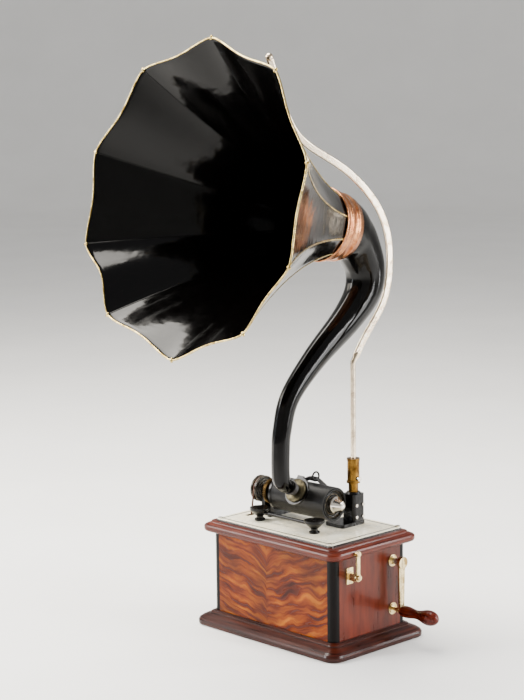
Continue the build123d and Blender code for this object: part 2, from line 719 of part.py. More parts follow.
DRUM_IN, DRUM_OUT, DRUM_R = 37.0, 46.0, 20.0
with BuildPart() as reproducer:
    with BuildSketch(stylus_plane(DRUM_IN)):
        Circle(DRUM_R)
        Circle(DRUM_R - 3, mode=Mode.SUBTRACT)
    extrude(amount=DRUM_OUT - DRUM_IN - 3)
    with BuildSketch(stylus_plane(DRUM_OUT - 3)):
        Circle(DRUM_R)
        Circle(5, mode=Mode.SUBTRACT)
    extrude(amount=3)
    with BuildSketch(stylus_plane(DRUM_OUT)):
        Circle(7.5)
        Circle(5, mode=Mode.SUBTRACT)
    extrude(amount=8)
save(reproducer, "reproducer")

with BuildPart() as diaphragm:
    with BuildSketch(stylus_plane(DRUM_IN + 1.5)):
        Circle(DRUM_R - 3)
    extrude(amount=0.4)
save(diaphragm, "diaphragm")

with BuildPart() as stylus_arm:
    with BuildSketch(stylus_plane(DRUM_IN - 2)):
        with Locations((0, 6)):
            Rectangle(3, 20)
    extrude(amount=1.2)
    with BuildSketch(stylus_plane(RECORD_R + 0.3)):
        Circle(0.7)
    extrude(amount=DRUM_IN - 2 - RECORD_R - 0.3)
    with BuildSketch(stylus_plane(DRUM_IN - 0.8)):
        Circle(0.8)
    extrude(amount=2.3)
    with BuildSketch(stylus_plane(DRUM_IN - 0.8)):
        with Locations((0, 17.5)):
            Rectangle(4, 2)
    extrude(amount=0.8)
save(stylus_arm, "stylus_arm")

# The arm clamps the drum in a ring, arches back over the record and hinges on the sleeve.
# A curled finger loop on it lifts the reproducer off the record.
ARCH_R0, ARCH_R1 = 33.0, 39.0
ARM_IN_X = (SLEEVE_X + 13, SLEEVE_X + 17)
LOOP_AT = (ARM_IN_X[1] + 12.0, 0.0, MANDREL[1] + ARCH_R1 + 2)
with BuildPart() as carriage_arm:
    with BuildSketch(Plane.YZ.offset(ARM_IN_X[0])):
        with BuildLine():
            RadiusArc(beside(MANDREL, ARCH_R1, 138), beside(MANDREL, ARCH_R1, 36), ARCH_R1)
            Line(beside(MANDREL, ARCH_R1, 36), beside(MANDREL, ARCH_R0, 36))
            RadiusArc(beside(MANDREL, ARCH_R0, 36), beside(MANDREL, ARCH_R0, 138), -ARCH_R0)
            Line(beside(MANDREL, ARCH_R0, 138), beside(MANDREL, ARCH_R1, 138))
        make_face()
        with BuildLine():
            Polyline(
                beside(MANDREL, ARCH_R0, 40),
                beside(MANDREL, ARCH_R1, 52),
                (GUIDE[0] + 4, GUIDE[1] + 8),
                (GUIDE[0] + 9, GUIDE[1]),
                (GUIDE[0] + 4, GUIDE[1] - 8),
                (GUIDE[0] - 4, GUIDE[1] - 7),
                close=True,
            )
        make_face()
        with Locations(GUIDE):
            Circle(8)
            Circle(4.5, mode=Mode.SUBTRACT)
    extrude(amount=ARM_IN_X[1] - ARM_IN_X[0])
    with BuildSketch(stylus_plane(DRUM_IN + 1.5)):
        Circle(DRUM_R + 4)
        with Locations((-3, 14)):
            Rectangle(14, 26)
        Circle(DRUM_R, mode=Mode.SUBTRACT)
    extrude(amount=4)
    with Locations(LOOP_AT):
        Torus(7.5, 1.6, rotation=(0, 90, 20))
    rod_x(1.6, ARM_IN_X[1], LOOP_AT[0], (0, LOOP_AT[2] - 7.5))
save(carriage_arm, "carriage_arm")

# The half nut rides over the feed screw on a springy tongue.
with BuildPart() as half_nut:
    with BuildSketch(Plane.YZ.offset(ARM_IN_X[1])):
        with BuildLine():
            Polyline(
                (GUIDE[0] - 7.5, GUIDE[1] - 1),
                (GUIDE[0] - 9.5, GUIDE[1] - 1),
                (FEED[0] - 9.5, FEED[1] - 4),
                (FEED[0] - 4.6, FEED[1] - 4),
                (FEED[0] - 4.6, FEED[1] + 4),
                (FEED[0] - 7, FEED[1] + 4),
                close=True,
            )
        make_face()
        with Locations((GUIDE[0] - 5, GUIDE[1] + 2)):
            Rectangle(11, 6)
        with Locations(FEED):
            Circle(4.5, mode=Mode.SUBTRACT)
        with Locations(GUIDE):
            Circle(4.5, mode=Mode.SUBTRACT)
    extrude(amount=3)
save(half_nut, "half_nut")

# ===================================== Crane ===============================================
with BuildPart() as crane_post:
    with BuildSketch(Plane.XY.offset(PLATE_Z)):
        with Locations((CRANE_X - 6, CRANE_Y - 14)):
            RectangleRounded(42, 56, 5)
    extrude(amount=6)
    with BuildSketch(Plane.XY.offset(PLATE_Z + 6)):
        with Locations((CRANE_X, CRANE_Y)):
            RectangleRounded(28, 28, 6)
    extrude(amount=46)
    with BuildSketch(Plane.XY.offset(PLATE_Z + 52)):
        with Locations((CRANE_X, CRANE_Y)):
            Circle(13)
    extrude(amount=3, taper=30)
    for centre in (GUIDE, FEED):
        rod_x(4 + RUN, POST_X0 - 1, POST_X0 + 7, centre, Mode.SUBTRACT)
    with BuildSketch(Plane.XY.offset(PLATE_Z + 30)):
        with Locations((CRANE_X, CRANE_Y)):
            Circle(7)
    extrude(amount=30, mode=Mode.SUBTRACT)
save(crane_post, "crane_post")

SOCKET_Z0, SOCKET_Z1 = PLATE_Z + 30, 298.0
ROD_R = 4.5
with BuildPart() as crane_socket:
    for radius, z0, z1 in (
        (7, SOCKET_Z0, PLATE_Z + 55),
        (8.3, PLATE_Z + 55, 256),
        (11.5, 256, 259.5),
        (10.4, 259.5, 294),
        (11, 294, SOCKET_Z1),
    ):
        with Locations((CRANE_X, CRANE_Y, (z0 + z1) / 2)):
            Cylinder(radius, z1 - z0)
    with BuildSketch(Plane.XY.offset(SOCKET_Z0 + 4)):
        with Locations((CRANE_X, CRANE_Y)):
            Circle(ROD_R + RUN)
    extrude(amount=120, mode=Mode.SUBTRACT)
save(crane_socket, "crane_socket")

with BuildPart() as crane_screws:
    for z in (PLATE_Z + 14, PLATE_Z + 34):
        for y in (CRANE_Y - 8, CRANE_Y + 8):
            rod_x(2.6, POST_X0 + 28, POST_X0 + 30, (y, z))
    rod_x(2, CRANE_X + 10.4, CRANE_X + 12, (CRANE_Y, 264))
    rod_x(4, CRANE_X + 12, CRANE_X + 15, (CRANE_Y, 264))
save(crane_screws, "crane_screws")

crane_reach = (-sin(radians(CRANE_TURN)), -cos(radians(CRANE_TURN)), 0)
crane_side = (-cos(radians(CRANE_TURN)), sin(radians(CRANE_TURN)), 0)
crane_plane = Plane(origin=(CRANE_X, CRANE_Y, 0), x_dir=crane_reach, z_dir=crane_side)
BAR_ROUTE = [(-5, 468), (-33, 517), (-59, 563), (-68, 612), (-66, 662), (-50, 710), (-23, 747)]
BAR_ROUTE += [(24, 787), (64, 811), (98, 838), (121, 882), (136, 928), (CRANE_REACH, CRANE_TIP_Z)]
tip = crane_plane.from_local_coords(Vector(CRANE_REACH, CRANE_TIP_Z, 0))
crane_eye = crane_plane.from_local_coords(Vector(CRANE_REACH + 3, CRANE_TIP_Z - 28, 0))
with BuildPart() as crane_rod:
    with BuildLine(crane_plane) as bar_path:
        Spline(*BAR_ROUTE)
    bar_start = Plane(origin=bar_path.line @ 0, x_dir=crane_side, z_dir=bar_path.line % 0)
    with BuildSketch(bar_start):
        RectangleRounded(5.5, 12, 2.4)
    sweep()
    with BuildLine(crane_plane) as rod_path:
        FilletPolyline((0, SOCKET_Z0 + 5), (0, CRANE_BEND_Z + 3), (-9, 476), radius=8)
    with BuildSketch(Plane.XY.offset(SOCKET_Z0 + 5)):
        with Locations((CRANE_X, CRANE_Y)):
            Circle(ROD_R)
    sweep(path=rod_path.line)
    with Locations(tip):
        Sphere(6.5)
    with Locations(Plane(origin=crane_eye, x_dir=crane_reach, z_dir=crane_side)):
        Torus(5, 1.4)
save(crane_rod, "crane_rod")

# ===================================== Horn ================================================
# Centre line of the tube from the reproducer up to the collar, as (y, z, radius).
TUBE_ROUTE = [(*on_stylus_line(60), 11), (*on_stylus_line(64), 11.6), (-62, 262.5, 13)]
TUBE_ROUTE += [(-69.5, 269.5, 14.5), (-73, 281, 15.2), (-73, 315, 15.4), (-69, 355, 15.7)]
TUBE_ROUTE += [(-50, 408, 16.8), (8, 465, 20.2), (86, 523, 26.2), (126, 566, 31.4)]
TUBE_ROUTE += [(131, 607, 34.5), (109, 649, 40.5), (87, 669, 47), (72.5, 678.5, 50.8)]
TUBE_ROUTE += [(*THROAT, THROAT_R)]

mouth_dy, mouth_dz = MOUTH[0] - THROAT[0], MOUTH[1] - THROAT[1]
BELL_L = (mouth_dy**2 + mouth_dz**2) ** 0.5
bell_axis = Vector(0, mouth_dy / BELL_L, mouth_dz / BELL_L)
bell_up = Vector(0, mouth_dz / BELL_L, -mouth_dy / BELL_L)
throat = Vector(HORN_X, *THROAT)


STEPS_PER_SPAN = 4


def smooth(values, step):
    """Catmull-Rom curve through a list of values, and its slope, at a step along the route."""
    last = len(values) - 1
    span = min(step // STEPS_PER_SPAN, last - 1)
    t = step / STEPS_PER_SPAN - span
    a, b = values[max(span - 1, 0)], values[span]
    c, d = values[span + 1], values[min(span + 2, last)]
    value = b + 0.5 * t * (c - a + t * (2 * a - 5 * b + 4 * c - d + t * (3 * b - a - 3 * c + d)))
    slope = 0.5 * (c - a + t * (2 * (2 * a - 5 * b + 4 * c - d) + 3 * t * (3 * b - a - 3 * c + d)))
    return value, slope


def tube(inset):
    """The tube's solid volume, drawn in by an inset."""
    y_all, z_all, r_all = zip(*TUBE_ROUTE)
    with BuildPart() as volume:
        for step in range(STEPS_PER_SPAN * (len(TUBE_ROUTE) - 1) + 1):
            (y, along_y), (z, along_z), (radius, _) = (smooth(v, step) for v in (y_all, z_all, r_all))
            across = Plane(origin=(HORN_X, y, z), x_dir=(1, 0, 0), z_dir=(0, along_y, along_z))
            with BuildSketch(across):
                Circle(radius - inset)
        loft(ruled=True)
    return volume.part


def flat_ends(solid):
    """The two end discs of a tube volume, lowest first."""
    return solid.faces().filter_by(GeomType.PLANE).sort_by(Axis.Z)


# The thin wall is closed up from its outer skin, its inner skin and two end rings.
outside, inside = tube(0), tube(WALL)
skins = outside.faces().filter_by(GeomType.PLANE, reverse=True)
skins += inside.faces().filter_by(GeomType.PLANE, reverse=True)
end_rings = [
    Face(outer.outer_wire(), [inner.outer_wire()])
    for outer, inner in zip(flat_ends(outside), flat_ends(inside))
]
with BuildPart() as horn_elbow:
    add(Solid(Shell(list(skins) + end_rings)))
save(horn_elbow, "horn_elbow")


def bell_radius(share):
    """Bell radius at a share of its length from the collar."""
    return THROAT_R + (MOUTH_R - THROAT_R) * share**FLARE


def bell_point(share, angle, inset=0.0):
    """A point on a seam of the bell; angle is clockwise from the top, seen from the mouth's rear."""
    radius = bell_radius(share) - inset
    side = Vector(1, 0, 0) * (radius * sin(radians(angle)))
    return throat + bell_axis * (BELL_L * share) + side + bell_up * (radius * cos(radians(angle)))


BELL_STATIONS = (0.0, 0.12, 0.3, 0.5, 0.75, 1.0)
with BuildPart() as bell_panels:
    for seam, angle in enumerate(SEAMS):
        following = SEAMS[(seam + 1) % len(SEAMS)] + (360 if seam + 1 == len(SEAMS) else 0)
        for share in BELL_STATIONS:
            corners = [
                bell_point(share, angle + 0.05),
                bell_point(share, following - 0.05),
                bell_point(share, following - 0.05, WALL),
                bell_point(share, angle + 0.05, WALL),
            ]
            with BuildSketch(Plane(origin=corners[0], x_dir=(1, 0, 0), z_dir=bell_axis)) as face:
                with BuildLine():
                    Polyline(*[face.workplanes[0].to_local_coords(c) for c in corners], close=True)
                make_face()
        loft()
save(bell_panels, "bell_panels")

with BuildPart() as bell_rim:
    with BuildLine() as rim_path:
        Polyline(*[bell_point(1.0, angle, WALL / 2) + bell_axis * 2 for angle in SEAMS], close=True)
    rim_start = Plane(origin=rim_path.line @ 0, z_dir=rim_path.line % 0)
    with BuildSketch(rim_start):
        Circle(2)
    sweep(transition=Transition.ROUND)
save(bell_rim, "bell_rim")

with BuildPart() as horn_collar:
    with BuildSketch(Plane(origin=throat, x_dir=bell_up, z_dir=(1, 0, 0))) as ring_face:
        with BuildLine():
            Polyline(
                (THROAT_R + 0.9, -8),
                (THROAT_R + 2.2, -8),
                (THROAT_R + 2.8, 0),
                (THROAT_R + 4.6, 2),
                (THROAT_R + 4.6, 6),
                (THROAT_R + 3.6, 8),
                (THROAT_R + 4.4, 17),
                (THROAT_R + 7.2, 20),
                (THROAT_R + 7.2, 24),
                (THROAT_R + 6.0, 26),
                (THROAT_R + 7.8, 33),
                (THROAT_R + 10.4, 36),
                (THROAT_R + 10.4, 39),
                (THROAT_R + 8.6, 40),
                (THROAT_R + 0.9, 2),
                close=True,
            )
        make_face()
    revolve(axis=Axis(throat, bell_axis))
save(horn_collar, "horn_collar")

# Wire hanger: an eye on the bell's top seam, a coil spring and a ring in the crane's eye.
EYE_SHARE = 0.56
eye_foot = bell_point(EYE_SHARE, 0)
seam_along = (bell_point(EYE_SHARE + 0.02, 0) - eye_foot).normalized()
seam_out = seam_along.cross(Vector(1, 0, 0))
eye_at = eye_foot + seam_out * 8
LINK_R, LINK_WIRE = 5.0, 1.2
LINK_DROP = 2 * LINK_R - 2 * LINK_WIRE - 0.6
ring_at = crane_eye - Vector(0, 0, LINK_DROP)
low_ring_at = Vector(ring_at.X, eye_at.Y, eye_at.Z + LINK_DROP)
COIL_R = 5.0
COIL_Z0, COIL_Z1 = low_ring_at.Z + LINK_R, ring_at.Z - LINK_R
with BuildPart() as horn_hanger:
    with Locations(Plane(origin=eye_at, x_dir=(0, 1, 0), z_dir=(1, 0, 0))):
        Torus(LINK_R, LINK_WIRE)
    with Locations(Plane(origin=eye_foot + seam_out * 1.6, x_dir=(1, 0, 0), z_dir=seam_out)):
        Box(5, 16, 2.2)
    with Locations(Plane(origin=low_ring_at, z_dir=(0, 1, 0))):
        Torus(LINK_R, LINK_WIRE)
    with Locations(Plane(origin=ring_at, z_dir=crane_reach)):
        Torus(LINK_R, LINK_WIRE)
    with BuildLine(Plane(origin=(ring_at.X, ring_at.Y, COIL_Z0))) as coil_path:
        Helix(pitch=4.5, height=COIL_Z1 - COIL_Z0, radius=COIL_R)
    with BuildSketch(Plane(origin=coil_path.line @ 0, z_dir=coil_path.line % 0)):
        Circle(1.1)
    sweep()
save(horn_hanger, "horn_hanger")

# Rubber sleeve between the horn's small end and the reproducer's nozzle.
with BuildPart() as rubber_connector:
    with BuildSketch(stylus_plane(48.5)):
        Circle(11)
        Circle(8, mode=Mode.SUBTRACT)
    extrude(amount=11)
    with BuildSketch(stylus_plane(57)):
        Circle(13)
        Circle(8, mode=Mode.SUBTRACT)
    extrude(amount=2.9)
save(rubber_connector, "rubber_connector")
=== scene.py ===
"""The looks of the wind-up cylinder phonograph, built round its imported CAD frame.

Metres, in the CAD frame: origin under the cabinet's centre, +Z up, front towards -Y.
"""

from math import asin, atan2, cos, dist, pi, radians, sin

import bmesh
import bpy
from mathutils import Matrix, Vector


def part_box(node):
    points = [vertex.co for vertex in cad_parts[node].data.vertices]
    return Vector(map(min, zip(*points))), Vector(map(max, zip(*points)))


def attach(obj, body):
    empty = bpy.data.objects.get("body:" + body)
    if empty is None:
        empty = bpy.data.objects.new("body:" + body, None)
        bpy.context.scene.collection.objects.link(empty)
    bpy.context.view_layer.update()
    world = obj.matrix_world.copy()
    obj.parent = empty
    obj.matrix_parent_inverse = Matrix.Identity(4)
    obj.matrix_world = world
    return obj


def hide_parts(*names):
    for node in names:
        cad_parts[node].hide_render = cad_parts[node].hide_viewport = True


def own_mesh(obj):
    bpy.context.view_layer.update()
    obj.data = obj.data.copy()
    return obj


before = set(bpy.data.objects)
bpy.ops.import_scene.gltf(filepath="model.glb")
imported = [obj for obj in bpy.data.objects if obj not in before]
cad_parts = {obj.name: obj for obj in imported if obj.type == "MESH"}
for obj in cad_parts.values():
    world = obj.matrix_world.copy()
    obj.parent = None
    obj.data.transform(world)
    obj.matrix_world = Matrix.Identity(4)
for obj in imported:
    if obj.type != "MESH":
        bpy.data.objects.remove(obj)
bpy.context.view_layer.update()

# --- Driving dimensions, as in the CAD model ----------------------------------------------
MANDREL = (0.0, 0.227)
HORN_X = 0.010
THROAT = Vector((HORN_X, 0.0627, 0.6805))
MOUTH = Vector((HORN_X, -0.2639, 0.7482))
THROAT_R, MOUTH_R = 0.0527, 0.2506
FLARE = 1.51
WALL = 0.0008
# The bell's seams in degrees round its axis, and how far each petal sinks at its middle, as a share
# of the bell's radius.
SEAMS = (0, 37, 75, 111, 141, 178, 219, 250, 285, 323)
PETAL_HOLLOW = (0.014, 0.012, 0.01, 0.012, 0.012, 0.016, 0.05, 0.022, 0.024, 0.014)
# The elbow starts on the stylus line, which leans back from the mandrel's axis.
STYLUS_ANGLE = radians(30)
NECK = [
    (-reach * cos(STYLUS_ANGLE), MANDREL[1] + reach * sin(STYLUS_ANGLE), radius)
    for reach, radius in ((0.06, 0.011), (0.064, 0.0116))
]
# Each point of the elbow's route is (y, z, radius).
TUBE_ROUTE = NECK + [(-0.062, 0.2625, 0.013), (-0.0695, 0.2695, 0.0145), (-0.073, 0.281, 0.0152)]
TUBE_ROUTE += [(-0.073, 0.315, 0.0154), (-0.069, 0.355, 0.0157), (-0.05, 0.408, 0.0168)]
TUBE_ROUTE += [(0.008, 0.465, 0.0202), (0.086, 0.523, 0.0262), (0.126, 0.566, 0.0314)]
TUBE_ROUTE += [(0.131, 0.607, 0.0345), (0.109, 0.649, 0.0405), (0.087, 0.669, 0.047)]
TUBE_ROUTE += [(0.0725, 0.6785, 0.0508), (THROAT.y, THROAT.z, THROAT_R)]

bell_axis = (MOUTH - THROAT).normalized()
bell_up = Vector((0, bell_axis.z, -bell_axis.y))
BELL_L = (MOUTH - THROAT).length
X_AXIS = Vector((1, 0, 0))


# --- Materials ------------------------------------------------------------------------------
def srgb(red, green, blue):
    """A linear colour from its 0-255 screen values."""
    return (*((channel / 255) ** 2.2 for channel in (red, green, blue)), 1.0)


class Look:
    """A principled material, with the procedural nodes that feed it."""

    def __init__(self, name, **settings):
        self.name = name
        self.material = bpy.data.materials.new(name)
        self.material.use_nodes = True
        self.tree = self.material.node_tree
        self.shader = self.tree.nodes["Principled BSDF"]
        for socket, value in settings.items():
            self.shader.inputs[socket.replace("_", " ")].default_value = value
        self.place = self.tree.nodes.new("ShaderNodeTexCoord").outputs["Object"]

    def add(self, kind, *inputs, **settings):
        """Adds a node, fills its inputs in order, and returns its first output."""
        made = self.tree.nodes.new("ShaderNode" + kind)
        for setting, value in settings.items():
            setattr(made, setting, value)
        for socket, value in zip(made.inputs, inputs):
            if isinstance(value, bpy.types.NodeSocket):
                self.tree.links.new(value, socket)
            elif value is not None:
                socket.default_value = value
        return made.outputs[0]

    def maths(self, operation, *inputs):
        """A maths node's result."""
        return self.add("Math", *inputs, operation=operation)

    def axes(self):
        """The object coordinates, as three separate numbers."""
        split = self.tree.nodes.new("ShaderNodeSeparateXYZ")
        self.tree.links.new(self.place, split.inputs[0])
        return split.outputs[:3]

    def stretched(self, x, y, z):
        """The object coordinates, each multiplied by its own factor."""
        return self.add("VectorMath", self.place, (x, y, z), operation="MULTIPLY")

    def noise(self, scale, detail=4.0, roughness=0.55, vector=None):
        """Noise from 0 to 1; scale is in features per metre of the vector."""
        made = self.tree.nodes.new("ShaderNodeTexNoise")
        self.tree.links.new(vector or self.place, made.inputs["Vector"])
        made.inputs["Scale"].default_value = scale
        made.inputs["Detail"].default_value = detail
        made.inputs["Roughness"].default_value = roughness
        return made.outputs[0]

    def ramp(self, factor, *stops):
        """A colour ramp; each stop is (position, colour)."""
        made = self.tree.nodes.new("ShaderNodeValToRGB")
        self.tree.links.new(factor, made.inputs[0])
        elements = made.color_ramp.elements
        while len(elements) < len(stops):
            elements.new(0.5)
        for element, (position, colour) in zip(elements, stops):
            element.position = position
            element.color = colour
        return made.outputs[0]

    def levels(self, factor, low, high, start=0.3, end=0.7):
        """The factor rescaled, from low at start to high at end."""
        made = self.tree.nodes.new("ShaderNodeMapRange")
        self.tree.links.new(factor, made.inputs[0])
        for socket, value in zip(made.inputs[1:5], (start, end, low, high)):
            socket.default_value = value
        return made.outputs[0]

    def mix(self, factor, first, second, blend="MIX"):
        """Two colours mixed, or the second laid over the first by another blend."""
        return self.add("MixRGB", factor, first, second, blend_type=blend)

    def feed(self, socket, source):
        """Links a source to one of the shader's sockets."""
        self.tree.links.new(source, self.shader.inputs[socket])

    def bump(self, height, distance, strength=1.0):
        """Adds a bump of a depth in metres under the shader's normal."""
        made = self.tree.nodes.new("ShaderNodeBump")
        made.inputs["Strength"].default_value = strength
        made.inputs["Distance"].default_value = distance
        self.tree.links.new(height, made.inputs["Height"])
        normal = self.shader.inputs["Normal"]
        if normal.is_linked:
            self.tree.links.new(normal.links[0].from_socket, made.inputs["Normal"])
        self.tree.links.new(made.outputs[0], normal)


def wood(name, grain, dark, middle, light, figure=6.0, coat=0.12, shine=0.18):
    """Polished wood with its grain drawn out along the axes that have a small factor."""
    look = Look(name, Coat_Weight=coat, Coat_Roughness=0.08, Specular_IOR_Level=shine)
    fibres = look.noise(1.0, 6, 0.6, look.stretched(*grain))
    clouds = look.noise(figure, 3, 0.5)
    colour = look.ramp(fibres, (0.3, dark), (0.5, middle), (0.7, light))
    shade = look.levels(clouds, 0.62, 1.0)
    look.feed("Base Color", look.mix(1.0, colour, shade, "MULTIPLY"))
    look.feed("Roughness", look.levels(fibres, 0.24, 0.38))
    look.bump(fibres, 0.00012, 0.5)
    return look


def metal(name, bright, dull, roughness=(0.18, 0.34), speckle=0.25):
    """Plated or solid metal, clouded with age and finely scratched."""
    look = Look(name, Metallic=1.0)
    clouds = look.noise(70, 5, 0.65)
    spots = look.noise(900, 3, 0.7)
    colour = look.ramp(clouds, (0.36, dull), (0.58, bright))
    pits = look.levels(spots, 1.0 - speckle, 1.0, 0.34, 0.46)
    look.feed("Base Color", look.mix(1.0, colour, pits, "MULTIPLY"))
    look.feed("Roughness", look.levels(clouds, roughness[1], roughness[0]))
    look.bump(spots, 0.00006, 0.5)
    return look


def enamel(name, colour, worn, roughness=(0.14, 0.26), wave=0.0006, wave_scale=14, shine=0.2):
    """Glossy baked paint over sheet or cast metal, with slow waves and dust."""
    look = Look(name, Specular_IOR_Level=shine)
    patches = look.noise(wave_scale, 3, 0.5)
    dust = look.noise(420, 4, 0.7)
    look.feed("Base Color", look.ramp(dust, (0.5, colour), (0.72, worn)))
    look.feed("Roughness", look.levels(look.noise(60, 4), *roughness))
    look.bump(patches, wave)
    look.bump(dust, 0.00003, 0.4)
    return look


def flame_veneer():
    """Crotch mahogany: streaks that climb both ways from a line near the panel's middle."""
    look = Look("flame_veneer", Coat_Weight=0.07, Coat_Roughness=0.08, Specular_IOR_Level=0.1)
    middle_x, steepness = -0.012, 0.13
    x, y, z = look.axes()
    drift = look.noise(8, 3)
    wander = look.noise(26, 3)
    side = look.maths("ABSOLUTE", look.maths("SUBTRACT", x, middle_x))
    climb = look.maths("MULTIPLY", look.maths("POWER", side, 0.6), steepness)
    across = look.maths("SUBTRACT", z, climb)
    across = look.maths("ADD", across, look.maths("MULTIPLY", drift, 0.07))
    across = look.maths("ADD", across, look.maths("MULTIPLY", wander, 0.016))
    figure = look.add("CombineXYZ", look.maths("MULTIPLY", x, 15.0), y, look.maths("MULTIPLY", across, 120.0))
    streaks = look.noise(1.0, 2, 0.45, figure)
    glow = look.noise(11, 2)
    colour = look.ramp(
        streaks,
        (0.3, srgb(54, 16, 0)),
        (0.44, srgb(88, 33, 0)),
        (0.56, srgb(122, 55, 0)),
        (0.74, srgb(160, 88, 0)),
    )
    shade = look.levels(glow, 0.5, 1.08, 0.32, 0.62)
    pores = look.noise(1.0, 2, 0.5, look.stretched(240, 240, 2600))
    fine = look.levels(pores, 0.8, 1.0, 0.3, 0.5)
    colour = look.mix(1.0, colour, shade, "MULTIPLY")
    look.feed("Base Color", look.mix(1.0, colour, fine, "MULTIPLY"))
    look.feed("Roughness", look.levels(streaks, 0.3, 0.2))
    look.bump(streaks, 0.00015, 0.4)
    return look


def pinstriped_cream():
    """Cream enamel with a dark edge, and a dark line inside it, on the bedplate."""
    look = Look("cream_enamel", Coat_Weight=0.6, Coat_Roughness=0.08)
    edge_depth, line_inset, half_line = 0.0006, 0.0085, 0.0016
    low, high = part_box("bedplate")
    middle, half = (low + high) / 2, (high - low) / 2
    x, y, z = look.axes()
    edges = []
    for along, centre, reach in ((x, middle.x, half.x), (y, middle.y, half.y)):
        offset = look.maths("ABSOLUTE", look.maths("SUBTRACT", along, centre))
        edges.append(look.maths("SUBTRACT", reach, offset))
    inset = look.maths("MINIMUM", *edges)
    edge = look.maths("LESS_THAN", z, high.z - edge_depth)
    line = look.maths("COMPARE", inset, line_inset, half_line)
    lines = look.maths("MAXIMUM", edge, line)
    stains = look.noise(22, 5, 0.65)
    specks = look.noise(520, 3, 0.7)
    cream = look.ramp(stains, (0.34, srgb(250, 236, 200)), (0.6, srgb(255, 250, 228)))
    cream = look.mix(1.0, cream, look.levels(specks, 0.8, 1.0, 0.24, 0.34), "MULTIPLY")
    look.feed("Base Color", look.mix(lines, cream, srgb(20, 15, 12)))
    look.feed("Roughness", look.levels(stains, 0.34, 0.2))
    look.bump(specks, 0.00004, 0.5)
    return look


def grooved_wax():
    """Black wax with the fine groove of a two-minute record."""
    look = Look("black_wax", Specular_IOR_Level=0.22)
    grooves_per_metre = 1900
    along = look.axes()[0]
    groove = look.maths("SINE", look.maths("MULTIPLY", along, 2 * pi * grooves_per_metre))
    haze = look.noise(90, 4)
    look.feed("Base Color", look.ramp(haze, (0.35, srgb(7, 6, 6)), (0.65, srgb(18, 15, 13))))
    look.feed("Roughness", look.levels(haze, 0.3, 0.42))
    look.bump(groove, 0.00006, 0.6)
    return look


def ringed_black():
    """Black lacquer on the mandrel, with turned rings on its end and worn high spots."""
    look = Look("ringed_black", Specular_IOR_Level=0.3)
    ring_spacing = 0.0052
    y, z = look.axes()[1:]
    up = look.maths("SUBTRACT", z, MANDREL[1])
    squares = look.maths("ADD", look.maths("POWER", y, 2.0), look.maths("POWER", up, 2.0))
    reach = look.maths("SQRT", squares)
    rings = look.maths("SINE", look.maths("MULTIPLY", reach, 2 * pi / ring_spacing))
    wear = look.maths("MULTIPLY", look.noise(260, 4, 0.7), look.levels(rings, 0.3, 1.0, -1.0, 1.0))
    look.feed("Base Color", look.ramp(wear, (0.36, srgb(10, 9, 8)), (0.66, srgb(96, 84, 64))))
    look.feed("Roughness", look.levels(wear, 0.2, 0.4))
    look.bump(rings, 0.0009)
    return look


def fluted_brass():
    """Cast brass with a hollow between two raised edges along the crank's arm."""
    look = metal("fluted_brass", srgb(226, 206, 158), srgb(150, 124, 76), (0.16, 0.32))
    half_hollow, edge_start, depth = 0.0018, 0.0042, 0.0016
    y = look.axes()[1]
    low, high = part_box("crank_arm")
    offset = look.maths("ABSOLUTE", look.maths("SUBTRACT", y, (low.y + high.y) / 2))
    look.bump(look.levels(offset, 0.0, 1.0, half_hollow, edge_start), depth)
    return look


def matt(name, dark, light, scale, roughness=0.75, depth=0.0002, **settings):
    """A dull material with a fine grain, such as rubber, leather, lead or raw wood."""
    look = Look(name, Roughness=roughness, **settings)
    grain = look.noise(scale, 5, 0.65)
    look.feed("Base Color", look.ramp(grain, (0.35, dark), (0.65, light)))
    look.feed("Roughness", look.levels(grain, roughness, roughness * 0.8))
    look.bump(grain, depth)
    return look


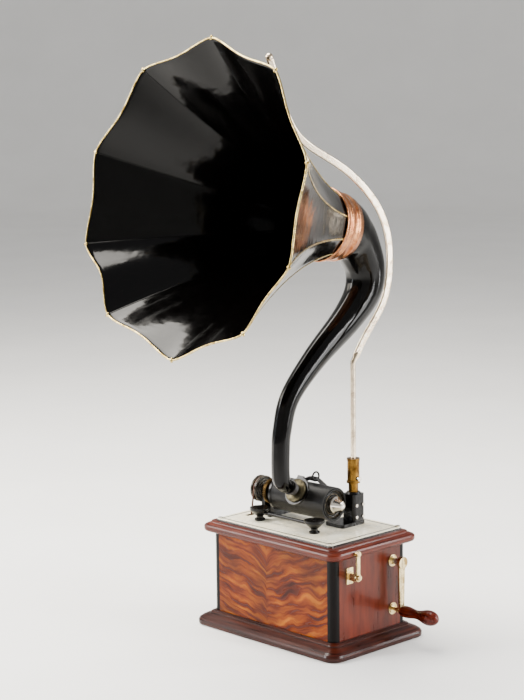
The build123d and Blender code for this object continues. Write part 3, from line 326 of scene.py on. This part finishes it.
LENGTH_GRAIN = (14, 14, 520)
ALL_LOOKS = (
    flame_veneer(),
    wood("side_mahogany", (420, 90, 14), srgb(56, 18, 6), srgb(82, 29, 11), srgb(98, 37, 15), 9),
    wood("mahogany", LENGTH_GRAIN, srgb(56, 18, 8), srgb(84, 29, 12), srgb(104, 40, 17)),
    wood("mahogany_dark", LENGTH_GRAIN, srgb(28, 10, 6), srgb(50, 20, 12), srgb(74, 33, 20)),
    # The corner posts are rounded mahogany; this near-black wood is a painted dark reflection of the rounded
    # corner, not an ebony finish.
    wood("painted_dark_reflection", (300, 300, 12), srgb(5, 3, 3), srgb(10, 6, 6), srgb(20, 11, 9), coat=0.05, shine=0.08),
    wood("plain_wood", (14, 240, 240), srgb(120, 84, 50), srgb(168, 124, 78), srgb(190, 148, 98)),
    wood("handle_wood", (26, 420, 420), srgb(50, 11, 2), srgb(82, 23, 3), srgb(108, 37, 6), 60),
    pinstriped_cream(),
    enamel("japanned_black", srgb(8, 7, 8), srgb(26, 23, 20), wave_scale=60),
    enamel("cast_black", srgb(9, 8, 9), srgb(34, 30, 26), (0.16, 0.3), wave=0.0009, wave_scale=120),
    enamel("horn_black", srgb(6, 5, 5), srgb(16, 13, 12), (0.08, 0.16), wave=0.0016, shine=0.16),
    metal("gold_band", srgb(198, 176, 116), srgb(128, 106, 58)),
    metal("copper_ring", srgb(178, 122, 84), srgb(128, 74, 46), (0.2, 0.36)),
    metal("nickel", srgb(228, 222, 212), srgb(176, 166, 152), (0.14, 0.26), 0.35),
    metal("crane_nickel", srgb(236, 218, 192), srgb(176, 158, 136), (0.16, 0.3), 0.5),
    metal("steel", srgb(190, 190, 192), srgb(140, 138, 138), (0.24, 0.4)),
    metal("spring_steel", srgb(96, 108, 140), srgb(60, 62, 82), (0.24, 0.36)),
    metal("gear_brass", srgb(214, 180, 104), srgb(160, 122, 58)),
    fluted_brass(),
    metal("oxidised", srgb(86, 80, 62), srgb(36, 32, 26), (0.42, 0.6), 0.4),
    ringed_black(),
    metal("dark_brass", srgb(84, 66, 38), srgb(44, 33, 20), (0.26, 0.42), 0.4),
    metal("brass_plate", srgb(226, 206, 158), srgb(164, 132, 82), (0.16, 0.32)),
    metal("aged_brass", srgb(118, 88, 42), srgb(70, 47, 20), (0.26, 0.44), 0.4),
    matt("lead_weights", srgb(74, 74, 78), srgb(104, 104, 108), 160, 0.55, Metallic=0.8),
    matt("belt_leather", srgb(52, 30, 18), srgb(92, 56, 34), 900, 0.6),
    matt("soft_rubber", srgb(22, 19, 18), srgb(40, 34, 31), 700, 0.6),
    matt("mica", srgb(52, 48, 34), srgb(104, 98, 74), 260, 0.5, 0.00003, Specular_IOR_Level=0.2),
    grooved_wax(),
)
materials = {look.name: look.material for look in ALL_LOOKS}

# Which look each CAD node shows.
NODE_LOOKS = {
    "flame_veneer": ["front_panel", "back_panel"],
    "side_mahogany": ["left_panel", "right_panel"],
    "mahogany": ["top_moulding"],
    "mahogany_dark": ["base_moulding"],
    "painted_dark_reflection": ["corner_posts"],
    "plain_wood": ["bottom_board"],
    "handle_wood": ["crank_handle"],
    "cream_enamel": ["bedplate"],
    "japanned_black": ["pulley_bracket", "pedestals", "front_rail", "governor_disc", "carriage_arm"],
    "cast_black": ["front_feet", "crane_post", "motor_frame", "brake_lever"],
    "horn_black": ["horn_elbow", "bell_panels"],
    "gold_band": ["bell_rim"],
    "copper_ring": ["horn_collar"],
    "crane_nickel": ["crane_rod"],
    "nickel": ["bedplate_screws", "crane_screws", "mandrel_nuts", "horn_hanger", "drive_pulley"],
    "oxidised": ["reproducer", "carriage_sleeve"],
    "ringed_black": ["mandrel", "mandrel_pulley"],
    "fluted_brass": ["crank_arm"],
    "dark_brass": ["mandrel_gear"],
    "brass_plate": ["escutcheons", "catch_plates", "catch_hook"],
    "aged_brass": ["crane_socket"],
    "steel": [
        "guide_rod", "crank_shaft", "winding_pinion", "spring_arbor", "second_arbor", "drive_shaft",
        "governor_shaft", "mandrel_shaft", "feed_screw", "half_nut", "stylus_arm",
    ],
    "gear_brass": ["winding_gear", "spring_barrel", "great_wheel"],
    "spring_steel": ["mainspring", "click_pawl"],
    "lead_weights": ["governor_weights"],
    "belt_leather": ["drive_belt"],
    "soft_rubber": ["rubber_connector"],
    "mica": ["diaphragm"],
    "black_wax": ["record"],
}

for look_name, node_names in NODE_LOOKS.items():
    for node_name in node_names:
        for material_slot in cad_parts[node_name].material_slots:
            material_slot.material = materials[look_name]


# --- Mesh helpers ---------------------------------------------------------------------------
def piece(name, grid, look, body, closed_long=False, sharp=()):
    """A mesh from rings of points, joined ring to ring; sharp lists the columns that keep an edge."""
    shape = bmesh.new()
    rows = [[shape.verts.new(point) for point in row] for row in grid]
    columns = len(rows[0])
    last_row = len(rows) if closed_long else len(rows) - 1
    for row in range(last_row):
        following = rows[(row + 1) % len(rows)]
        for column in range(columns):
            beside = (column + 1) % columns
            face = (rows[row][column], rows[row][beside], following[beside], following[column])
            shape.faces.new(face).smooth = True
    for column in sharp:
        for row in range(len(rows) - 1):
            shape.edges.get((rows[row][column], rows[row + 1][column])).smooth = False
    bmesh.ops.recalc_face_normals(shape, faces=shape.faces)
    mesh = bpy.data.meshes.new(name)
    shape.to_mesh(mesh)
    shape.free()
    mesh.materials.append(materials[look])
    made = bpy.data.objects.new(name, mesh)
    bpy.context.scene.collection.objects.link(made)
    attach(made, body)
    return made


def turned(name, profile, origin, axis, look, body, around=96, closed_long=False):
    """A turned piece; the profile's points are (distance along the axis, radius)."""
    axis = Vector(axis).normalized()
    side = axis.orthogonal().normalized()
    across = axis.cross(side)
    grid = []
    for along, radius in profile:
        ring = []
        for step in range(around):
            turn = 2 * pi * step / around
            ring.append(origin + axis * along + (side * cos(turn) + across * sin(turn)) * radius)
        grid.append(ring)
    return piece(name, grid, look, body, closed_long=closed_long)


def between(a, b, c, d, t):
    """The Catmull-Rom value at t, from 0 at b to 1 at c."""
    return b + 0.5 * t * (c - a + t * (2 * a - 5 * b + 4 * c - d + t * (3 * b - a - 3 * c + d)))


def smooth(points, steps):
    """Catmull-Rom points through a list of equal-length tuples, with steps to each span."""
    last = len(points) - 1
    path = []
    for span in range(last):
        nearby = [points[min(max(span + offset, 0), last)] for offset in (-1, 0, 1, 2)]
        for step in range(steps + (span == last - 1)):
            path.append(tuple(between(*four, step / steps) for four in zip(*nearby)))
    return path


def directions(path):
    """Unit tangents along a list of points."""
    ends = [(path[max(i - 1, 0)], path[min(i + 1, len(path) - 1)]) for i in range(len(path))]
    return [(after - before).normalized() for before, after in ends]


def loop_rings(path, across, radius, around):
    """Round sections along a closed path that is square to the direction across."""
    rings = []
    for index, point in enumerate(path):
        along = (path[(index + 1) % len(path)] - path[index - 1]).normalized()
        outward = along.cross(across).normalized()
        ring = []
        for step in range(around):
            turn = 2 * pi * step / around
            ring.append(point + (outward * cos(turn) + across * sin(turn)) * radius)
        rings.append(ring)
    return rings


# --- Horn: tapered elbow ----------------------------------------------------------------------
ELBOW_AROUND = 72
RIDGE_H, RIDGE_FROM = 0.0006, 0.985


def elbow_skin(inset):
    """Rings of the elbow's skin; a low soldered ridge runs along its inside and its outside."""
    path = smooth(TUBE_ROUTE, 8)
    centres = [Vector((HORN_X, y, z)) for y, z, radius in path]
    rings = []
    for centre, along, (y, z, radius) in zip(centres, directions(centres), path):
        across = Vector((0, along.z, -along.y))
        ring = []
        for step in range(ELBOW_AROUND):
            turn = 2 * pi * step / ELBOW_AROUND
            crest = max(0.0, (abs(cos(turn)) - RIDGE_FROM) / (1 - RIDGE_FROM))
            reach = radius - inset + (0.0 if inset else RIDGE_H * crest)
            ring.append(centre + (X_AXIS * sin(turn) + across * cos(turn)) * reach)
        rings.append(ring)
    return rings


elbow = piece(
    "horn_elbow_skin",
    elbow_skin(0.0) + elbow_skin(WALL)[::-1],
    "horn_black",
    "horn",
    closed_long=True,
)
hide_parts("horn_elbow")


# --- Horn: bell of ten petals -------------------------------------------------------------------
PETAL_STEPS = 14
BELL_STEPS = 56
# EAR sharpens the corners between petals. At the throat the bell is nearly round, with petals that
# are THROAT_FLATNESS of the way to flat, and they are flat a little before ROUND_TO of its length.
EAR = 1.5
ROUND_TO = 0.45
THROAT_FLATNESS = 0.1


def bell_radius(share):
    """The radius at the seams, at a share of the bell's length."""
    return THROAT_R + (MOUTH_R - THROAT_R) * share**FLARE


def bell_outward(turn):
    """The direction out from the bell's axis at a turn about it."""
    return X_AXIS * sin(turn) + bell_up * cos(turn)


def bell_point(share, petal, across, offset=0.0):
    """A point on the bell; across runs from 0 to 1 between a petal's two seams."""
    start = SEAMS[petal % len(SEAMS)]
    end = SEAMS[(petal + 1) % len(SEAMS)]
    width = radians((end - start) % 360)
    turn = radians(start) + width * across
    from_middle = abs(2 * across - 1)
    flat_sink = 1 - cos(width / 2)
    chord = (1 - cos(width / 2) / cos(width / 2 * from_middle)) / flat_sink
    flatness = min(share / ROUND_TO + THROAT_FLATNESS, 1.0)
    hollow = PETAL_HOLLOW[petal % len(SEAMS)] * cos(pi / 2 * from_middle) ** 2 * share**1.5
    radius = bell_radius(share) * (1 - flat_sink * flatness * chord**EAR - hollow) + offset
    return THROAT + bell_axis * (BELL_L * share) + bell_outward(turn) * radius


def bell_skin(inset):
    """Rings of the bell's skin, from the throat to the mouth."""
    rings = []
    for step in range(BELL_STEPS + 1):
        share = step / BELL_STEPS
        ring = []
        for petal in range(len(SEAMS)):
            for across in range(PETAL_STEPS):
                ring.append(bell_point(share, petal, across / PETAL_STEPS, -inset))
        rings.append(ring)
    return rings


bell = piece(
    "bell_skin",
    bell_skin(0.0) + bell_skin(WALL)[::-1],
    "horn_black",
    "horn",
    closed_long=True,
    sharp=range(0, PETAL_STEPS * len(SEAMS), PETAL_STEPS),
)
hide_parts("bell_panels")


SEAM_H = 0.0007
SEAM_STEPS, SEAM_AROUND = 60, 10
SEAM_END = 0.995


def seam_strip(name, petal, width, offset, look, start):
    """A low rounded strip along one of the bell's seams, from a share of its length to the rim."""
    path = []
    for step in range(SEAM_STEPS + 1):
        share = start + (SEAM_END - start) * step / SEAM_STEPS
        path.append(bell_point(share, petal, 0.0, offset))
    outward = bell_outward(radians(SEAMS[petal]))
    rings = []
    for point, along in zip(path, directions(path)):
        side = along.cross(outward).normalized()
        raised = side.cross(along)
        ring = []
        for step in range(SEAM_AROUND):
            angle = 2 * pi * step / SEAM_AROUND
            ring.append(point + side * (cos(angle) * width / 2) + raised * (sin(angle) * SEAM_H))
        rings.append(ring)
    return piece(name, rings, look, "horn")


for petal in range(len(SEAMS)):
    seam_strip(f"outer_seam_{petal}", petal, 0.0036, 0.0004, "gold_band", 0.05)
    seam_strip(f"inner_seam_{petal}", petal, 0.0024, -WALL, "horn_black", 0.0)

# --- Horn: gilt rim, and the crimp where each seam meets it ---------------------------------------
RIM_R = 0.0016
RIM_STEPS = 20
rim_path = []
for petal in range(len(SEAMS)):
    for step in range(RIM_STEPS):
        rim_path.append(bell_point(1.0, petal, step / RIM_STEPS, -WALL / 2))
rim_rings = loop_rings(rim_path, bell_axis, RIM_R, 12)
rim = piece("gilt_rim", rim_rings, "gold_band", "horn", closed_long=True)
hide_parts("bell_rim")

# Each point of the crimp is (distance along it, radius); its second half mirrors the first.
CRIMP = [(-0.0042, 0.0002), (-0.0038, 0.0017), (-0.0022, 0.0025), (0.0, 0.0028)]
CRIMP += [(-along, radius) for along, radius in CRIMP[-2::-1]]
for petal, seam in enumerate(SEAMS):
    at = bell_point(1.0, petal, 0.0, -WALL / 2)
    turned(f"rim_crimp_{petal}", CRIMP, at, bell_outward(radians(seam)), "gold_band", "horn", 20)

# --- Horn: stepped copper ring -----------------------------------------------------------------
# Each point is (distance along the bell's axis from its throat, height over the throat's radius).
COLLAR = [(-0.008, 0.001), (-0.0082, 0.0018), (-0.0074, 0.0026), (-0.002, 0.003), (-0.0008, 0.0034)]
COLLAR += [(0.0006, 0.0046), (0.0024, 0.0054), (0.0044, 0.0054), (0.0062, 0.0046), (0.0076, 0.0038)]
COLLAR += [(0.0092, 0.0038), (0.0165, 0.0044), (0.018, 0.005), (0.0194, 0.0064), (0.0212, 0.0072)]
COLLAR += [(0.0232, 0.0074), (0.025, 0.0066), (0.0262, 0.006), (0.033, 0.0078), (0.0346, 0.009)]
COLLAR += [(0.0364, 0.0104), (0.0386, 0.0106), (0.04, 0.0098), (0.0402, 0.0084), (0.03, 0.0056)]
COLLAR += [(0.016, 0.0026), (0.004, 0.001)]
collar = turned(
    "copper_collar",
    [(along, THROAT_R + height) for along, height in COLLAR],
    THROAT,
    bell_axis,
    "copper_ring",
    "horn",
    128,
    closed_long=True,
)
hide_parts("horn_collar")


# --- Rubber connector between the reproducer and the horn ---------------------------------------
# Each point is (distance from the mandrel's axis along the stylus line, radius).
SLEEVE = [(0.0493, 0.0083), (0.0492, 0.0094), (0.0496, 0.0104), (0.0502, 0.0109), (0.0508, 0.0108)]
SLEEVE += [(0.0514, 0.0103), (0.0522, 0.0103), (0.0528, 0.0108), (0.0536, 0.0112), (0.0544, 0.0108)]
SLEEVE += [(0.0550, 0.0103), (0.0558, 0.0104), (0.0566, 0.0112), (0.0572, 0.0124), (0.0580, 0.0130)]
SLEEVE += [(0.0592, 0.0130), (0.0599, 0.0122), (0.0599, 0.0084)]
stylus_line = Vector((0, -cos(STYLUS_ANGLE), sin(STYLUS_ANGLE)))
sleeve = turned(
    "rubber_sleeve",
    SLEEVE,
    Vector((HORN_X, *MANDREL)),
    stylus_line,
    "soft_rubber",
    "horn",
    closed_long=True,
)
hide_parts("rubber_connector")
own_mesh(sleeve)

# --- Round leather belt --------------------------------------------------------------------------
# The belt's plane, and the (y, z) of the drive pulley's axis.
BELT_X = -0.110
DRIVE = (-0.0293, 0.1200)
BELT_R = 0.0016
MANDREL_PULLEY_R, DRIVE_PULLEY_R = 0.020, 0.008
WRAP_STEPS = 32
BELT_GAP = 0.004


def belt_route():
    """Points of the belt's loop: round the mandrel's pulley, down, round the drive's, and up."""
    wheels = ((MANDREL, MANDREL_PULLEY_R), (DRIVE, DRIVE_PULLEY_R))
    lean = asin((wheels[0][1] - wheels[1][1]) / dist(MANDREL, DRIVE))
    line = atan2(DRIVE[1] - MANDREL[1], DRIVE[0] - MANDREL[0])
    first, last = line + pi / 2 - lean, line + 3 * pi / 2 + lean
    points = []
    for (centre, radius), start, end in zip(wheels, (first, last), (last, first + 2 * pi)):
        for step in range(WRAP_STEPS + 1):
            turn = start + (end - start) * step / WRAP_STEPS
            points.append(Vector((BELT_X, centre[0] + radius * cos(turn), centre[1] + radius * sin(turn))))
    return points


def even_spacing(loop, gap):
    """A closed loop with extra points on its long straight runs."""
    points = []
    for index, point in enumerate(loop):
        following = loop[(index + 1) % len(loop)]
        pieces = max(1, round((following - point).length / gap))
        points += [point.lerp(following, part / pieces) for part in range(pieces)]
    return points


belt_rings = loop_rings(even_spacing(belt_route(), BELT_GAP), X_AXIS, BELT_R, 16)
belt = piece("round_belt", belt_rings, "belt_leather", "cabinet", closed_long=True)
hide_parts("drive_belt")


# --- Studio ---------------------------------------------------------------------------------------
def studio_floor():
    """A round pale floor that curves up into a wall well behind every camera."""
    look = Look("studio_floor", Roughness=0.7)
    mottle = look.noise(3, 4)
    look.feed("Base Color", look.ramp(mottle, (0.3, (0.84, 0.83, 0.81, 1)), (0.7, (0.88, 0.87, 0.85, 1))))
    look.bump(look.noise(300, 3), 0.0001)
    flat, bend, top = 8.0, 2.0, 7.0
    bend_steps, around_steps = 16, 96
    profile = [(0.2, 0.0), (flat, 0.0)]
    for step in range(1, bend_steps + 1):
        turn = pi / 2 * step / bend_steps
        profile.append((flat + bend * sin(turn), bend * (1 - cos(turn))))
    profile.append((flat + bend, top))
    shape = bmesh.new()
    centre = shape.verts.new((0, 0, 0))
    around = [2 * pi * step / around_steps for step in range(around_steps)]
    rows = [[shape.verts.new((reach * cos(a), reach * sin(a), z)) for a in around] for reach, z in profile]
    for step in range(len(around)):
        beside = (step + 1) % len(around)
        shape.faces.new((centre, rows[0][step], rows[0][beside]))
        for low, high in zip(rows, rows[1:]):
            shape.faces.new((low[step], high[step], high[beside], low[beside])).smooth = True
    mesh = bpy.data.meshes.new("studio_floor")
    shape.to_mesh(mesh)
    shape.free()
    mesh.materials.append(look.material)
    made = bpy.data.objects.new("studio_floor", mesh)
    bpy.context.scene.collection.objects.link(made)


def softbox(name, at, aim, size, height, power, colour=(1, 1, 1)):
    """A rectangular area light that faces a point."""
    light = bpy.data.lights.new(name, "AREA")
    light.shape = "RECTANGLE"
    light.size, light.size_y = size, height
    light.energy = power
    light.color = colour
    made = bpy.data.objects.new(name, light)
    made.location = at
    made.rotation_euler = (Vector(aim) - Vector(at)).to_track_quat("-Z", "Y").to_euler()
    bpy.context.scene.collection.objects.link(made)


studio_floor()
softbox("key", (-1.7, -1.7, 1.7), (0, 0, 0.3), 1.2, 1.2, 95, (1.0, 0.97, 0.93))
softbox("fill", (2.3, 1.0, 1.0), (0, 0, 0.2), 0.8, 1.4, 60)
softbox("top", (-0.9, -0.2, 2.8), (0, 0, 0.2), 1.8, 1.8, 235, (1.0, 0.96, 0.88))
softbox("mouth_glow", (-2.5, -0.7, 1.4), (0, 0, 0.7), 1.1, 0.8, 14, (1.0, 0.93, 0.8))
softbox("rim_strip", (1.3, 1.6, 1.0), (0, 0, 0.6), 0.2, 1.8, 40)
softbox("left_strip", (-1.1, -1.9, 0.9), (0, 0, 0.5), 0.07, 1.6, 26, (0.86, 0.92, 1.0))
softbox("right_strip", (2.1, 0.5, 0.9), (0, 0, 0.5), 0.07, 1.6, 26)
world = bpy.data.worlds.new("studio")
world.use_nodes = True
background = world.node_tree.nodes["Background"]
background.inputs["Color"].default_value = (0.97, 0.98, 1.0, 1)
background.inputs["Strength"].default_value = 0.6
bpy.context.scene.world = world

# --- Camera ---------------------------------------------------------------------------------------
# Distances are in UNITs, about the cabinet's length; the shifts slide the camera in its own plane.
UNIT = 0.320
AZIMUTH, ELEVATION, ROLL = radians(46.011), radians(9.048), radians(-0.681)
DISTANCE, SIDE_SHIFT, UP_SHIFT, TARGET_Z = 10.0, -0.234, 0.197, 1.3
LENS = 98.783
backward = Vector((sin(AZIMUTH) * cos(ELEVATION), -cos(AZIMUTH) * cos(ELEVATION), sin(ELEVATION)))
level_right = Vector((cos(AZIMUTH), sin(AZIMUTH), 0))
level_up = backward.cross(level_right)
right = level_right * cos(ROLL) + level_up * sin(ROLL)
up = level_up * cos(ROLL) - level_right * sin(ROLL)
camera_data = bpy.data.cameras.new("camera")
camera_data.lens = LENS
camera_data.clip_end = 50
camera = bpy.data.objects.new("camera", camera_data)
bpy.context.scene.collection.objects.link(camera)
target = Vector((0, 0, TARGET_Z))
camera.location = UNIT * (target + backward * DISTANCE + right * SIDE_SHIFT + up * UP_SHIFT)
camera.rotation_euler = Matrix((right, up, backward)).transposed().to_euler()
bpy.context.scene.camera = camera
